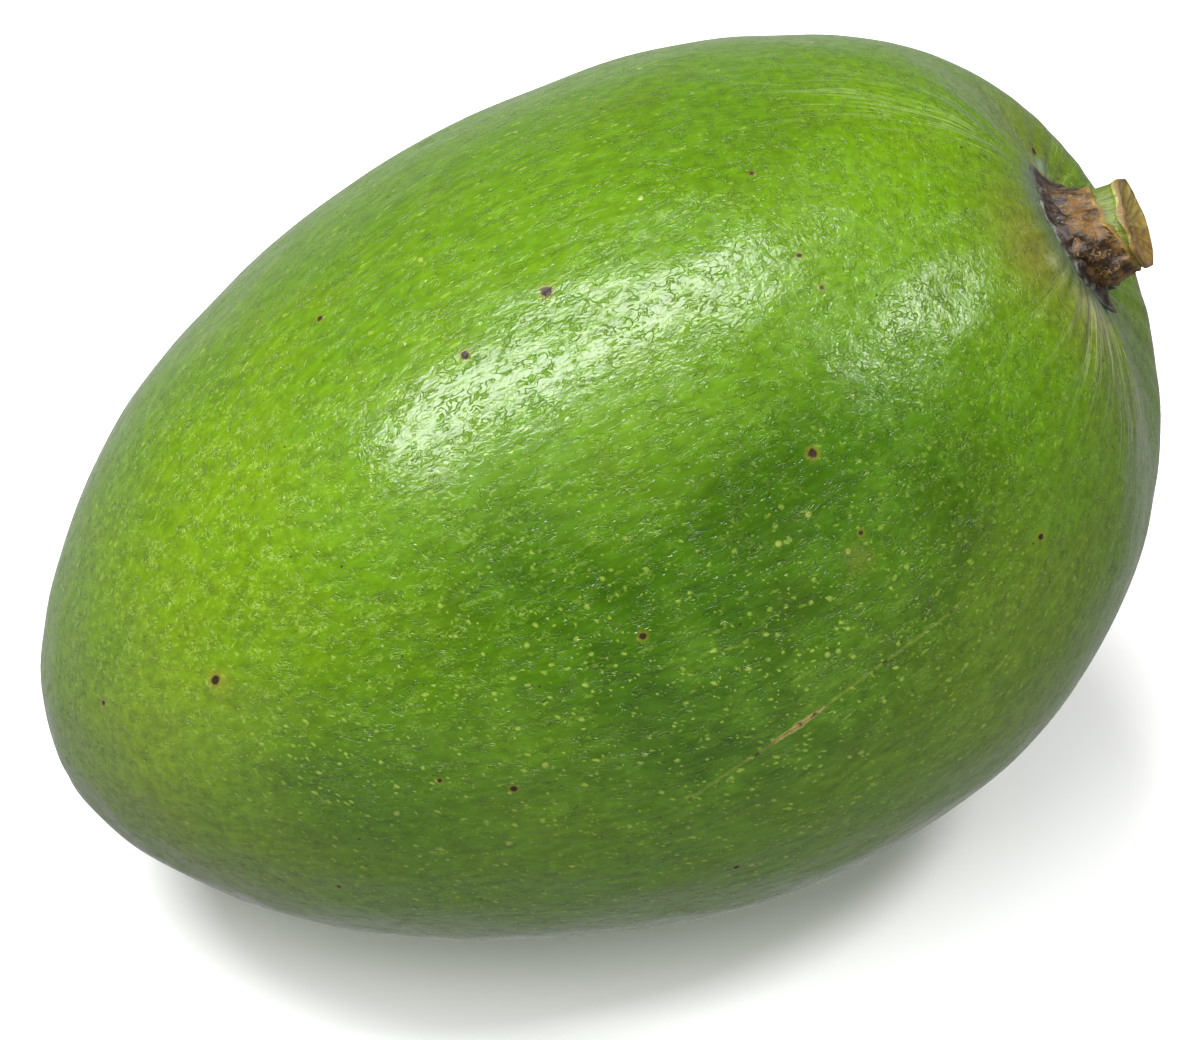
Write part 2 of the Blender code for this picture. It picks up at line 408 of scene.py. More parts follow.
def makeSkin():
    # the egg with its hollow, its relief added along the normal, and its underside flat where it rests
    rows = (np.arange(fruit["rings"]) + 1.0) / (fruit["rings"] + 1.0)
    lean, around = np.meshgrid(
        np.pi * rows ** fruit["ringCrowding"],
        np.linspace(0.0, 2 * np.pi, fruit["segments"], endpoint=False),
        indexing="ij",
    )
    smooth = layDown(pressedIn(eggSkin(seatedBall(lean, around))))
    normals = outwardNormals(smooth)
    steps = np.linalg.norm(np.diff(smooth, axis=0, prepend=smooth[:1]), axis=-1)
    travelled = np.cumsum(steps, axis=0) * 1000.0
    rounds = np.linalg.norm(np.roll(smooth, -1, 1) - smooth, axis=-1).sum(axis=1, keepdims=True)
    girth = np.broadcast_to(rounds * 1000.0 / (2 * np.pi), lean.shape)
    flow = np.stack([girth * np.cos(around), girth * np.sin(around), travelled], axis=-1)
    fan = np.stack([np.cos(around), np.sin(around), travelled], axis=-1)

    swellHeight, swellWave = relief["swell"]
    wavyHeight, wavyWave = relief["waviness"]
    height = swellHeight * ripples(smooth * 1000.0, swellWave, seed=3)
    height += wavyHeight * ripples(flow * np.array([1.0, 1.0, relief["drawnOut"]]), wavyWave, seed=5)
    height *= smoothStep(*relief["stalkEndFade"], travelled)
    fold = spokes(around, *relief["foldCount"], seed=11) * smoothStep(*relief["foldStart"], travelled)
    height += relief["foldHeight"] * fold * np.exp(-((travelled / relief["foldReach"]) ** 2))
    skin = smooth + normals * (height / 1000.0)[..., None]
    skin[..., 2] = -smoothMin(-skin[..., 2], 0.0, fruit["restRounding"])
    made = gridObject("mangoSkin", skin)

    # the strength of each zone, which the material reads; the mottle shifts those for the colour
    (broadMottle, broadWave), (fineMottle, fineWave) = relief["mottle"]
    mottle = broadMottle * ripples(smooth * 1000.0, broadWave, seed=21)
    mottle += fineMottle * ripples(smooth * 1000.0, fineWave, seed=22)
    lifts = {"yellow": 0.8, "bloomAndSheen": -0.9, "deep": 0.5, "brown": 0.2}
    zones = {name: zoneStrength(smooth, *zone) for name, zone in skinZones.items()}
    tint = [np.clip(zones[name] + mottle * lift, 0.0, 1.0) for name, lift in lifts.items()]
    grain = [zones[name] for name in ("pores", "dashes", "strokesAndGlints", "streaks")]
    addAttribute(made, "flow", flow)
    addAttribute(made, "fan", fan)
    addAttribute(made, "tint", np.stack(tint, axis=-1))
    addAttribute(made, "grain", np.stack(grain, axis=-1))
    addAttribute(made, "scratch", np.stack([*scratchPlace(smooth), travelled], axis=-1))
    return made


def paintOver(tree, colour, layers):
    # lays each paint over the colour, as far as its mask times its amount allows
    for paint, mask, amount in layers:
        cover = add(tree, "Math", {0: mask, 1: amount}, operation="MULTIPLY", use_clamp=True)
        mixed = add(tree, "Mix", {0: cover, 6: colour, 7: linear(paint)}, data_type="RGBA")
        colour = mixed.outputs[2]
    return colour


def shaded(tree, colour, value, darkest, lightest):
    # darkens and lightens a colour with a noise's value
    share = add(tree, "MapRange", {"Value": value, **noiseSpan, "To Min": darkest, "To Max": lightest})
    grey = add(tree, "CombineColor", {0: share, 1: share, 2: share})
    mixed = add(tree, "Mix", {0: 1.0, 6: colour, 7: grey}, data_type="RGBA", blend_type="MULTIPLY")
    return mixed.outputs[2]


def millimetres(tree):
    # the object's own coordinates in millimetres
    place = add(tree, "TexCoord").outputs["Object"]
    return add(tree, "VectorMath", {0: place, "Scale": 1000.0}, operation="SCALE")


def scatteredDots(tree, place, spacing, radius, share, soft, shift=0.0):
    # round marks: the distance to the nearest cell's point against a radius drawn for each cell
    moved = add(tree, "Mapping", {"Vector": place, "Location": (shift, 2.1 * shift, -shift)})
    cells = add(tree, "TexVoronoi", {"Vector": moved, "Scale": 1.0 / spacing}, feature="F1")
    chance = add(tree, "SeparateColor", {"Color": cells.outputs["Color"]}).outputs["Red"]
    size = add(tree, "MapRange", {"Value": chance, "From Min": 1.0 - share, "To Max": radius})
    away = add(tree, "Math", {0: cells.outputs["Distance"], 1: spacing}, operation="MULTIPLY")
    inside = add(tree, "Math", {0: size, 1: away}, operation="SUBTRACT")
    return add(tree, "MapRange", {"Value": inside, "From Max": soft})


def threads(tree, place, wavelength, width, gaps):
    # curly short lines: where a wandering noise crosses its middle value, broken up by a second noise
    scale = 1.0 / wavelength
    noise = {"Vector": place, "Scale": scale, "Detail": 2.0, "Roughness": 0.55, "Distortion": 0.8}
    wander = add(tree, "TexNoise", noise)
    centred = add(tree, "Math", {0: wander, 1: 0.5}, operation="SUBTRACT")
    away = add(tree, "Math", {0: centred}, operation="ABSOLUTE")
    line = add(tree, "MapRange", {"Value": away, "From Min": width, "From Max": 0.0})
    breaks = add(tree, "TexNoise", {"Vector": place, "Scale": 0.55 * scale, "Detail": 1.0})
    kept = add(tree, "MapRange", {"Value": breaks, "From Min": gaps, "From Max": gaps + 0.08})
    return add(tree, "Math", {0: line, 1: kept}, operation="MULTIPLY")


def nearestMark(tree, place):
    # distance to the nearest dark mark, as a share of that mark's reach
    nearest = 9.0
    for along, around, reach in darkMarks:
        spot = skinPlace(along, around) * 1000.0
        away = add(tree, "VectorMath", {0: place, 1: spot}, operation="DISTANCE").outputs["Value"]
        scaled = add(tree, "Math", {0: away, 1: 1.0 / reach}, operation="MULTIPLY")
        nearest = add(tree, "Math", {0: scaled, 1: nearest}, operation="MINIMUM")
    return nearest


def scratchLayers(tree, place, wander):
    # the open part is a lens whose half width shrinks to its ends; the trail is a thin, flecked line
    parts = add(tree, "SeparateXYZ", {0: place})
    most = scratch["wobble"]
    wobble = add(tree, "MapRange", {"Value": wander, **noiseSpan, "To Min": -most, "To Max": most})
    moved = add(tree, "Math", {0: parts.outputs["Y"], 1: wobble}, operation="ADD")
    across = add(tree, "Math", {0: moved}, operation="ABSOLUTE")
    along = add(tree, "Math", {0: parts.outputs["X"]}, operation="ABSOLUTE")
    halfLength, halfWidth = scratch["halfLength"], scratch["halfWidth"]
    squared = add(tree, "Math", {0: along, 1: along}, operation="MULTIPLY")
    span = {"Value": squared, "From Max": halfLength**2, "To Min": halfWidth, "To Max": 0.0}
    lens = add(tree, "MapRange", span)
    inside = add(tree, "Math", {0: lens, 1: across}, operation="SUBTRACT")
    opened = add(tree, "MapRange", {"Value": inside, "From Max": scratch["softEdge"]})
    narrow, wide = scratch["trailEdge"]
    thin = add(tree, "MapRange", {"Value": across, "From Min": wide, "From Max": narrow})
    first, last = scratch["trail"]
    fadeIn, fadeOut = scratch["trailFade"]
    span = {"Value": parts.outputs["X"], "From Min": first, "From Max": first + fadeIn}
    began = add(tree, "MapRange", span)
    span = {"Value": parts.outputs["X"], "From Min": last, "From Max": last - fadeOut}
    ending = add(tree, "MapRange", span)
    running = add(tree, "Math", {0: began, 1: ending}, operation="MULTIPLY")
    trail = add(tree, "Math", {0: thin, 1: running}, operation="MULTIPLY")
    noise = {"W": parts.outputs["X"], "Scale": 0.75, "Detail": 1.0}
    fleck = add(tree, "TexNoise", noise, noise_dimensions="1D")
    flecked = add(tree, "MapRange", {"Value": fleck, "From Min": 0.60, "From Max": 0.66})
    dark = add(tree, "Math", {0: trail, 1: flecked}, operation="MULTIPLY")
    begins, whole = scratch["darkTip"]
    span = {"Value": along, "From Min": halfLength - begins, "From Max": halfLength - whole}
    tips = add(tree, "MapRange", span)
    ends = add(tree, "Math", {0: opened, 1: tips}, operation="MULTIPLY")
    drawn = add(tree, "Mapping", {"Vector": place, "Scale": (0.8, 7.0, 0.0)})
    fibres = add(tree, "TexNoise", {"Vector": drawn, "Scale": 1.0, "Detail": 2.0})
    fibrous = add(tree, "MapRange", {"Value": fibres, "From Min": 0.44, "From Max": 0.60})
    grainy = add(tree, "Math", {0: opened, 1: fibrous}, operation="MULTIPLY")
    return [
        ("#748038", trail, 0.40),
        ("#968a50", opened, 0.85),
        ("#3a2810", grainy, 0.75),
        ("#2c1d0e", ends, 0.9),
        ("#2c1d0e", dark, 0.8),
    ]


def waxySkin():
    # Fresh unripe mango skin, grown with a thin wax bloom: a deep green that the wax veils to a milky
    # blue-green, partly a painted sheen, pale breathing pores, and a soft broken gloss like fine
    # leather.
    material, tree, shader = newMaterial("waxyMangoSkin")
    place = millimetres(tree)
    flow = add(tree, "Attribute", attribute_name="flow").outputs["Vector"]
    fan = add(tree, "Attribute", attribute_name="fan").outputs["Vector"]
    tinted = add(tree, "Attribute", attribute_name="tint")
    grained = add(tree, "Attribute", attribute_name="grain")
    tint = add(tree, "SeparateColor", {0: tinted.outputs["Color"]})
    grain = add(tree, "SeparateColor", {0: grained.outputs["Color"]})
    healed = add(tree, "Attribute", attribute_name="scratch").outputs["Vector"]

    # curled marks: the flow is shaken by a fine noise before the pores are drawn on it
    shake = add(tree, "TexNoise", {"Vector": flow, "Scale": 1.6, "Detail": 1.0}).outputs["Color"]
    centred = add(tree, "VectorMath", {0: shake, 1: (0.5, 0.5, 0.5)}, operation="SUBTRACT")
    moved = {0: centred, 1: (0.55, 0.55, 0.55), 2: flow}
    curled = add(tree, "VectorMath", moved, operation="MULTIPLY_ADD")
    drawnOut = add(tree, "Mapping", {"Vector": curled, "Scale": (1.0, 1.0, 0.36)})
    straight = add(tree, "Mapping", {"Vector": flow, "Scale": (1.0, 1.0, 0.36)})
    streakPlace = add(tree, "Mapping", {"Vector": fan, "Scale": (26.0, 26.0, 0.06)})

    # the green and its cloudy changes
    colour = linear("#4b6c06")
    cloud = add(tree, "TexNoise", {"Vector": flow, "Scale": 0.30, "Detail": 4.0, "Roughness": 0.65})
    cloudy = add(tree, "MapRange", {"Value": cloud, **noiseSpan, "To Min": 0.35, "To Max": 1.5})
    # the milky veil is partly wax bloom and partly a painted sheen
    veilAndSheen = add(tree, "Math", {0: tint.outputs["Green"], 1: cloudy}, operation="MULTIPLY")
    layers = [
        ("#62800c", tint.outputs["Red"], 0.85),
        ("#264702", tint.outputs["Blue"], 0.95),
        ("#4a6c18", veilAndSheen, 0.65),
        ("#5e5426", tinted.outputs["Alpha"], 0.75),
    ]
    colour = paintOver(tree, colour, layers)
    mottle = add(tree, "TexNoise", {"Vector": straight, "Scale": 1.1, "Detail": 3.0, "Roughness": 0.6})
    colour = shaded(tree, colour, mottle, 0.76, 1.18)

    # pale curly strokes, partly lifted wax and partly painted glints; streaks that run out from the
    # stalk; and the breathing pores
    strokesAndGlints = threads(tree, drawnOut, 0.60, 0.045, 0.50)
    streaks = threads(tree, streakPlace, 1.0, 0.055, 0.42)
    pores = scatteredDots(tree, curled, 0.98, 0.36, 0.95, 0.20)
    smallPores = scatteredDots(tree, curled, 0.60, 0.19, 0.95, 0.10, shift=31.0)
    dashes = scatteredDots(tree, drawnOut, 0.80, 0.24, 0.8, 0.09, shift=12.0)
    bigPores = scatteredDots(tree, place, 3.4, 0.42, 0.9, 0.20)
    specks = scatteredDots(tree, place, 1.9, 0.17, 0.6, 0.07, shift=5.0)
    layers = [
        ("#84a03c", strokesAndGlints, grain.outputs["Blue"]),
        ("#8e9c66", streaks, grained.outputs["Alpha"]),
        ("#768c34", pores, grain.outputs["Red"]),
        ("#748a36", smallPores, grain.outputs["Red"]),
        ("#7e9234", dashes, grain.outputs["Green"]),
        ("#8c9648", bigPores, 0.6),
        ("#1d1c08", specks, 0.85),
    ]
    colour = paintOver(tree, colour, layers)

    # soft stains, the scratch, and dark healed marks with a brownish halo, a scab and a paler middle
    ragged = add(tree, "TexNoise", {"Vector": place, "Scale": 1.7, "Detail": 3.0, "Roughness": 0.6})
    for along, around, reach, strength, paint in stains:
        spot = {0: place, 1: skinPlace(along, around) * 1000.0}
        away = add(tree, "VectorMath", spot, operation="DISTANCE").outputs["Value"]
        frayed = add(tree, "Math", {0: ragged, 1: -1.6 * reach, 2: away}, operation="MULTIPLY_ADD")
        span = {"Value": frayed, "From Min": 0.4 * reach, "From Max": -0.6 * reach}
        colour = paintOver(tree, colour, [(paint, add(tree, "MapRange", span), strength)])
    colour = paintOver(tree, colour, scratchLayers(tree, healed, ragged))
    terms = {0: ragged, 1: 0.5, 2: nearestMark(tree, place)}
    frayed = add(tree, "Math", terms, operation="MULTIPLY_ADD")
    rings = [
        ("#6c6420", 0.62, 1.30, 0.70),
        ("#1e0d05", 0.64, 0.86, 0.97),
        ("#33231c", 0.25, 0.50, 0.6),
    ]
    covers = []
    for paint, inner, outer, most in rings:
        covers.append(add(tree, "MapRange", {"Value": frayed, "From Min": outer, "From Max": inner}))
        colour = paintOver(tree, colour, [(paint, covers[-1], most)])
    scab = covers[1]

    # the skin is bleached and corky beside the calyx
    parts = add(tree, "SeparateXYZ", {0: healed})
    span = {"Value": parts.outputs["Z"], "From Min": 13.0, "From Max": 8.0}
    beside = add(tree, "MapRange", span, interpolation_type="SMOOTHSTEP")
    corky = add(tree, "TexNoise", {"Vector": streakPlace, "Scale": 0.7, "Detail": 4.0})
    patchy = add(tree, "MapRange", {"Value": corky, "From Min": 0.38, "From Max": 0.62})
    bleach = add(tree, "Math", {0: beside, 1: patchy}, operation="MULTIPLY")
    bleach = add(tree, "Math", {0: bleach, 1: grained.outputs["Alpha"]}, operation="MULTIPLY")
    rim = add(tree, "MapRange", {"Value": parts.outputs["Z"], "From Min": 10.0, "From Max": 7.4})
    colour = paintOver(tree, colour, [("#84805c", bleach, 1.5), ("#4c5844", rim, 0.75)])

    # leather-like grain, in millimetres of height
    noise = {"Vector": flow, "Scale": 0.9, "Detail": 2.0, "Roughness": 0.5, "Distortion": 0.6}
    pebble = add(tree, "TexNoise", noise)
    noise = {"Vector": straight, "Scale": 3.2, "Detail": 2.0, "Roughness": 0.5, "Distortion": 0.5}
    wrinkles = add(tree, "TexNoise", noise)
    moved = {"Vector": flow, "Scale": (1.0, 1.0, 0.55), "Location": (3.0, 2.0, 1.0)}
    crackPlace = add(tree, "Mapping", moved)
    heights = [
        (pebble, 0.07),
        (wrinkles, 0.030),
        (threads(tree, crackPlace, 0.75, 0.045, 0.47), -0.060),
        (scatteredDots(tree, crackPlace, 0.70, 0.22, 0.7, 0.08, shift=3.0), -0.060),
        (strokesAndGlints, 0.012),
        (pores, 0.02),
        (bigPores, 0.05),
    ]
    height = 0.0
    for mask, most in heights:
        height = add(tree, "Math", {0: mask, 1: most, 2: height}, operation="MULTIPLY_ADD")
    bump = add(tree, "Bump", {"Height": height, "Strength": 1.0, "Distance": 0.001})
    rough = add(tree, "MapRange", {"Value": cloud, **noiseSpan, "To Min": 0.15, "To Max": 0.24})
    duller = add(tree, "Math", {0: scab, 1: 0.30, 2: rough}, operation="MULTIPLY_ADD")
    fill(tree, shader, {"Base Color": colour, "Roughness": duller, "Normal": bump})
    fill(tree, shader, {"IOR": 1.45, "Specular IOR Level": 0.36})
    return material


# Cut stalk, in millimetres over the seat. Each profile step is height, radius and finish, where the
# finish runs 0 bark, 1 torn ledge, 2 green band, 3 lip, 4 cut rim and 5 cut face.
stalk = {
    "length": 6.5,
    "bend": (-1.7, 0.3),
    "nod": (-9.0, -10.0),
    "rows": 170,
    "columns": 168,
    "profile": [
        (-1.6, 5.2, 0.0), (-0.3, 5.5, 0.0), (0.8, 5.3, 0.0), (1.8, 4.85, 0.0), (2.5, 4.60, 0.15),
        (2.9, 4.52, 0.6), (3.2, 4.48, 1.0), (3.3, 4.22, 1.5), (3.7, 4.18, 2.0), (5.3, 4.28, 2.2),
        (5.6, 4.45, 2.8), (5.8, 4.50, 3.0), (6.0, 4.38, 3.3), (6.5, 4.42, 4.0), (6.62, 4.25, 4.2),
        (6.45, 3.8, 4.8), (6.2, 3.0, 5.0), (6.05, 2.0, 5.2), (6.0, 1.0, 5.3), (6.0, 0.05, 5.3),
    ],
    "ledgeClimb": 2.4,  # how much further up the torn ledge runs on the side away from its low side
    "ledgeLow": -35.0,
    "climbGrows": (0.3, 1.0),  # where the climb sets in and ends, as shares of the ledge's place
    "climbEnds": (1.45, 1.72),
    "bark": (0.16, 0.12),  # roughness of the bark: ridges up it, and lumps
    "edges": (0.12, 0.10, 0.05),  # raggedness of the ledge, the lip and everything but the face
    "tornHeight": (0.30, 0.14),  # how far the ledge and the lip wander up and down
    "outOfRound": (0.035, 0.02),
    "faceGrain": (0.12, 0.05),
    "patternRadius": 4.5,  # the patterns are drawn on a cylinder of this radius
    "hollow": (0.7, 0.2, 1.7, 1.3, 1.3),  # place along run and side, its two radii, and its depth
}


def softened(values, passes):
    # each value averaged with its neighbours a few times, with the ends held
    for _ in range(passes):
        middle = 0.25 * values[:-2] + 0.5 * values[1:-1] + 0.25 * values[2:]
        values = np.concatenate([values[:1], middle, values[-1:]])
    return values


def makeStalk():
    # a turned profile whose rings lean and shift with height, roughened round the ring and along it
    steps = np.array(stalk["profile"])
    travelled = np.concatenate([[0.0], np.cumsum(np.hypot(*np.diff(steps[:, :2], axis=0).T))])
    around = np.linspace(0.0, 2 * np.pi, stalk["columns"], endpoint=False)[None, :]
    places = np.linspace(0.0, travelled[-1], stalk["rows"])[:, None]
    ledge = travelled[list(steps[:, 2]).index(1.0)]
    grows, ends = (smoothStep(*stalk[name], places / ledge) for name in ("climbGrows", "climbEnds"))
    climbing = grows * (1.0 - ends)
    climb = stalk["ledgeClimb"] * (0.5 - 0.5 * np.cos(around - math.radians(stalk["ledgeLow"])))
    height = softened(np.interp(places, travelled, steps[:, 0]), 2)
    climbed = places - climb * climbing
    radius, finish = (softened(np.interp(climbed, travelled, column), 2) for column in steps[:, 1:].T)

    onBark = smoothStep(-1.0, 0.5, height) * (1.0 - smoothStep(0.6, 1.3, finish))
    onEdge = np.exp(-(((finish - 1.0) / 0.45) ** 2))
    onLip = np.exp(-(((finish - 3.2) / 0.7) ** 2))
    onFace = smoothStep(4.0, 5.0, finish)
    wrap = np.broadcast_to(around, (stalk["rows"], stalk["columns"]))
    cosine, sine = np.cos(wrap), np.sin(wrap)
    tubeX, tubeY = stalk["patternRadius"] * cosine, stalk["patternRadius"] * sine
    tube = np.stack([tubeX, tubeY, np.broadcast_to(height, wrap.shape)], axis=-1)
    ridges, lumps = stalk["bark"]
    atLedge, atLip, elsewhere = stalk["edges"]
    ledgeHeight, lipHeight = stalk["tornHeight"]
    oval, threeSided = stalk["outOfRound"]
    bark = ridges * spokes(wrap + 0.05 * height, 5, 19, seed=31) + lumps * ripples(tube, 1.5, seed=32)
    radius = radius + onBark * bark
    ragged = (onEdge * atLedge + onLip * atLip + elsewhere) * (1.0 - onFace)
    radius = radius + ragged * spokes(wrap, 2, 14, seed=33)
    height = height + onEdge * ledgeHeight * spokes(wrap, 3, 15, seed=34)
    height = height + onLip * lipHeight * spokes(wrap, 2, 9, seed=35)
    radius = radius * (1.0 + oval * np.cos(2 * wrap + 0.6) + threeSided * np.cos(3 * wrap))

    # the cut face is grainy and sinks into its hollow
    x, y = radius * cosine, radius * sine
    atRun, atSide, runReach, sideReach, depth = stalk["hollow"]
    pit = np.exp(-((((x - atRun) / runReach) ** 2 + ((y - atSide) / sideReach) ** 2) ** 2))
    lumps, rays = stalk["faceGrain"]
    grainy = lumps * ripples(np.stack([x, y, 0 * x], axis=-1), 1.4, seed=36)
    grainy += rays * spokes(wrap, 6, 22, seed=37)
    height = height + onFace * (grainy * np.clip(radius / 2.0, 0.0, 1.0) - depth * pit)

    level = np.clip(height / stalk["length"], -0.2, 1.0)
    tip, nod = (np.radians(angle) * level for angle in stalk["nod"])
    drop = y * np.sin(tip)
    grid = np.stack(
        [
            x * np.cos(nod) + drop * np.sin(nod) + stalk["bend"][0] * level,
            y * np.cos(tip) + stalk["bend"][1] * level,
            height - x * np.sin(nod) + drop * np.cos(nod),
        ],
        axis=-1,
    )
    made = gridObject("cutStalk", ontoSeat(grid / 1000.0))
    marks = np.stack([np.broadcast_to(finish, wrap.shape), height, pit * onFace], axis=-1)
    streak = np.stack([tubeX, tubeY, 0.25 * height], axis=-1)
    addAttribute(made, "finish", marks)
    addAttribute(made, "streak", streak)
    return made


def driedStalk():
    # Freshly cut woody fruit stalk: dull ochre bark with near-black wet patches, a strip shaved to the
    # green cambium with yellow torn edges, and a sawn face that has dried to olive brown.
    material, tree, shader = newMaterial("driedStalkBark")
    place = millimetres(tree)
    marks = add(tree, "Attribute", attribute_name="finish").outputs["Vector"]
    parts = add(tree, "SeparateXYZ", {0: marks})
    finish, height, hollow = (parts.outputs[name] for name in "XYZ")
    streak = add(tree, "Attribute", attribute_name="streak").outputs["Vector"]
    blotch = add(tree, "TexNoise", {"Vector": place, "Scale": 0.55, "Detail": 4.0, "Roughness": 0.6})
    fibre = add(tree, "TexNoise", {"Vector": streak, "Scale": 2.2, "Detail": 4.0, "Roughness": 0.65})
    frayed = add(tree, "MapRange", {"Value": fibre, **noiseSpan, "To Min": -0.30, "To Max": 0.30})
    shifted = add(tree, "Math", {0: finish, 1: frayed}, operation="ADD")
    rampEnd = 6.0  # past the last finish, so that the ramp holds them all
    share = add(tree, "Math", {0: shifted, 1: rampEnd}, operation="DIVIDE")
    bands = add(tree, "ValToRGB", {0: share})
    stops = [
        (0.0, "#583e17"), (0.7, "#64481d"), (1.05, "#86682e"), (1.45, "#4f471a"), (1.75, "#55601e"),
        (2.45, "#586a20"), (2.9, "#8a8340"), (3.3, "#6c6430"), (4.1, "#604322"), (4.6, "#857638"),
        (5.3, "#7a6a34"),
    ]
    ramp = bands.color_ramp
    while len(ramp.elements) < len(stops):
        ramp.elements.new(0.5)
    for element, (position, paint) in zip(ramp.elements, stops):
        element.position = position / rampEnd
        element.color = linear(paint)

    # wet dark patches, most at the foot, and light ochre squiggles: partly raised streaks in the bark,
    # partly a painted gleam
    onBark = add(tree, "MapRange", {"Value": finish, "From Min": 1.4, "From Max": 0.8})
    rot = add(tree, "MapRange", {"Value": blotch, "From Min": 0.46, "From Max": 0.56})
    span = {"Value": height, "From Min": 0.6, "From Max": 2.4, "To Min": 0.75, "To Max": 0.0}
    foot = add(tree, "MapRange", span)
    rotten = add(tree, "Math", {0: rot, 1: foot}, operation="MAXIMUM")
    dark = add(tree, "Math", {0: rotten, 1: onBark}, operation="MULTIPLY")
    squiggles = threads(tree, place, 0.75, 0.045, 0.44)
    ochreAndGleam = add(tree, "Math", {0: squiggles, 1: onBark}, operation="MULTIPLY")
    # the low side of the band and of the cut face has gone brown
    across = add(tree, "SeparateXYZ", {0: streak}).outputs["X"]
    frayed = add(tree, "Math", {0: fibre, 1: -6.0, 2: across}, operation="MULTIPLY_ADD")
    browned = add(tree, "MapRange", {"Value": frayed, "From Min": -2.5, "From Max": -6.0})
    cutAway = add(tree, "MapRange", {"Value": finish, "From Min": 1.0, "From Max": 1.6})
    browned = add(tree, "Math", {0: browned, 1: cutAway}, operation="MULTIPLY")
    layers = [
        ("#6a4c20", browned, 0.70),
        ("#1a0f06", dark, 0.92),
        ("#92703a", ochreAndGleam, 0.60),
        # the hollow in the cut face is painted near-black: painted shade over its real dip
        ("#181006", hollow, 1.4),
    ]
    colour = paintOver(tree, bands.outputs["Color"], layers)
    colour = shaded(tree, colour, fibre, 0.55, 1.40)
    span = {"Value": blotch, **noiseSpan, "To Min": 0.55, "To Max": 0.28}
    rough = add(tree, "MapRange", span)
    crust = add(tree, "TexNoise", {"Vector": place, "Scale": 2.5, "Detail": 4.0, "Roughness": 0.6})
    relieved = add(tree, "Math", {0: crust, 1: 0.4, 2: fibre}, operation="MULTIPLY_ADD")
    relieved = add(tree, "Math", {0: ochreAndGleam, 1: 0.3, 2: relieved}, operation="MULTIPLY_ADD")
    bump = add(tree, "Bump", {"Height": relieved, "Strength": 1.0, "Distance": 0.00022})
    fill(tree, shader, {"Base Color": colour, "Roughness": rough, "Normal": bump})
    fill(tree, shader, {"Specular IOR Level": 0.5})
    return material


# Dry calyx, in millimetres on the skin round the stalk's foot. Each lobe is an angle in degrees from
# the trough's run, its tip's distance, half its width in degrees and how far the tip lifts.
calyx = {
    "rows": 72,
    "columns": 288,
    "innerRadius": 4.7,
    "rimRadius": 6.1,
    "collarHeight": 1.7,
    "ringWidth": 2.5,  # a middling width, which sets how the section's points are spread
    "collarUneven": 0.18,
    "raggedRim": 0.13,
    "creases": 0.11,
    "crinkle": 0.09,
    "lobePoint": 1.25,  # above 1, the lobes' sides are hollow
    "lobes": [
        (-16.0, 8.9, 27.0, 0.20), (58.0, 6.8, 30.0, 0.05), (126.0, 6.6, 30.0, 0.10),
        (181.0, 8.6, 26.0, 0.80), (-140.0, 8.2, 24.0, 1.40), (-66.0, 9.2, 28.0, 1.10),
    ],
}


def skinHeight(run, side):
    # height of the skin over the seat's plane: the egg, found by halving an interval of 50 mm, and
    # pressed to the trough
    low, high = np.full(run.shape, -0.03), np.full(run.shape, 0.02)
    for _ in range(32):
        middle = 0.5 * (low + high)
        point = np.stack([run, side, middle], axis=-1) @ seatTurn.T + np.array(seat["centre"])
        along = point[..., 0] / fruit["halfLength"]
        held = np.clip(along, -1.0, 1.0)
        bow = (1.0 + held) * (1.0 - held**2)
        swell = 1.0 + fruit["stalkEndSwell"] * held
        y = (point[..., 1] - fruit["spineBow"][1] * bow) / (fruit["halfWidth"] * swell)
        z = (point[..., 2] - fruit["spineBow"][2] * bow) / (fruit["halfHeight"] * swell)
        inside = (np.abs(along) < 1.0) & (np.hypot(y, z) < (1.0 - held**2) ** (fruit["endTaper"] / 2))
        low, high = np.where(inside, middle, low), np.where(inside, high, middle)
    return smoothMin(low, troughHeight(run, side), seat["blend"])


